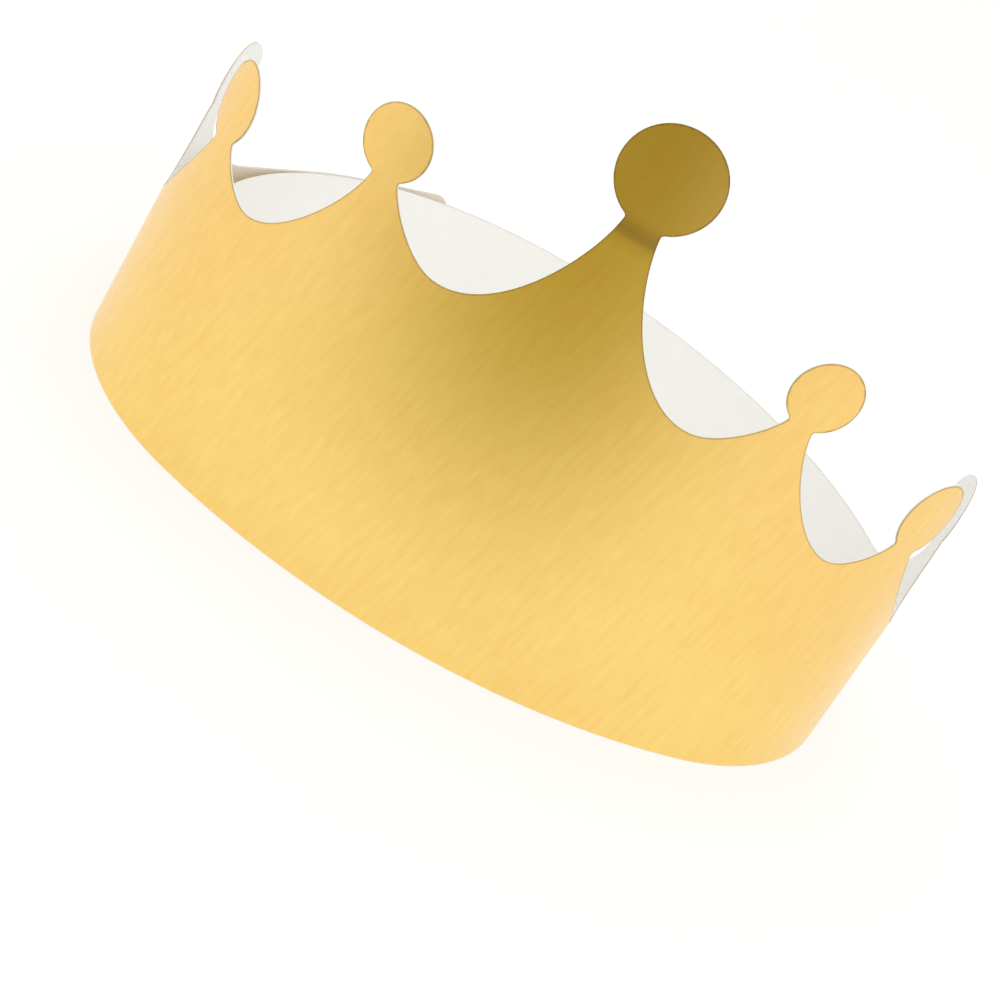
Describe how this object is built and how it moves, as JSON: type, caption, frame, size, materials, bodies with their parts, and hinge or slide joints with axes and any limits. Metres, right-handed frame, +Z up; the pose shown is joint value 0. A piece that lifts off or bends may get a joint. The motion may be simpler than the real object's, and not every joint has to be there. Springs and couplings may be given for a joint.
{
  "type": "card party crown",
  "caption": "Party crown die-cut from one strip of foil-faced card, bent into a ring that sits on the head, with ball-tipped points and a glued lap at the back.",
  "frame": {"origin": "centre of the crown's footprint, on the plane of its lower edge", "axes": "+Z up, -Y towards the front with the tallest point, +X to the right as seen from the front"},
  "size_m": [0.1744, 0.1412, 0.119],
  "materials": {
    "gold_card": "satin gold foil outside, bare white card inside"
  },
  "bodies": {
    "root": {"crown_band": "gold_card"}
  },
  "joints": []
}
